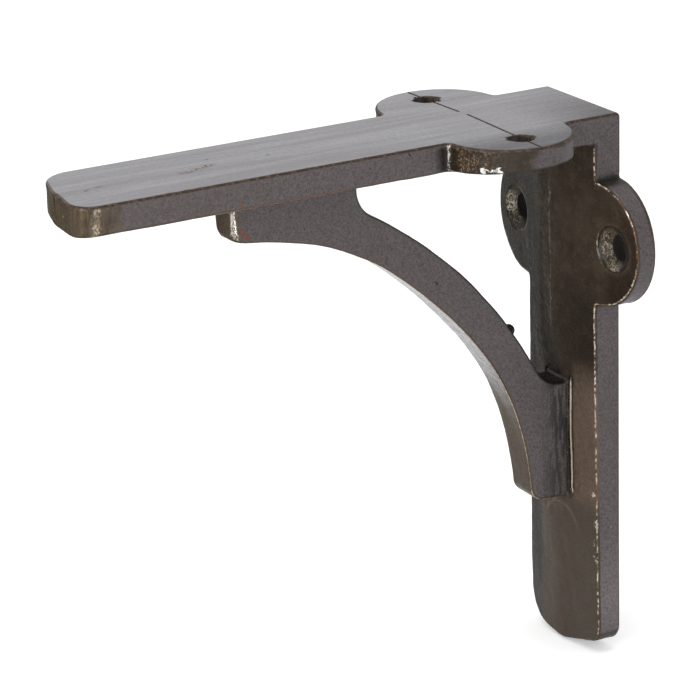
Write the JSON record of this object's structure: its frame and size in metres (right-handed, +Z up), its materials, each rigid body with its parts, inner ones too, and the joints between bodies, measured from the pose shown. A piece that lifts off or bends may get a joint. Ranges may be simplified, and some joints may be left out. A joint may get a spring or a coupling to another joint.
{
  "type": "shelf bracket",
  "caption": "Cast iron angle bracket with a curved brace; its plate screws to a wall and its arm screws up under a shelf.",
  "frame": {"origin": "on the wall face, midway between the centres of the two wall screw holes", "axes": "+Y into the wall, +Z up towards the shelf, so the arm reaches along -Y and +X runs across both leaves"},
  "size_m": [0.0546, 0.1265, 0.124],
  "materials": {
    "iron": "dark antique finish with a satin grey bloom on the ground and side faces, glossy brown in the hollows, bare metal on the rubbed edges"
  },
  "bodies": {
    "root": {"bracket": "iron"}
  },
  "joints": []
}
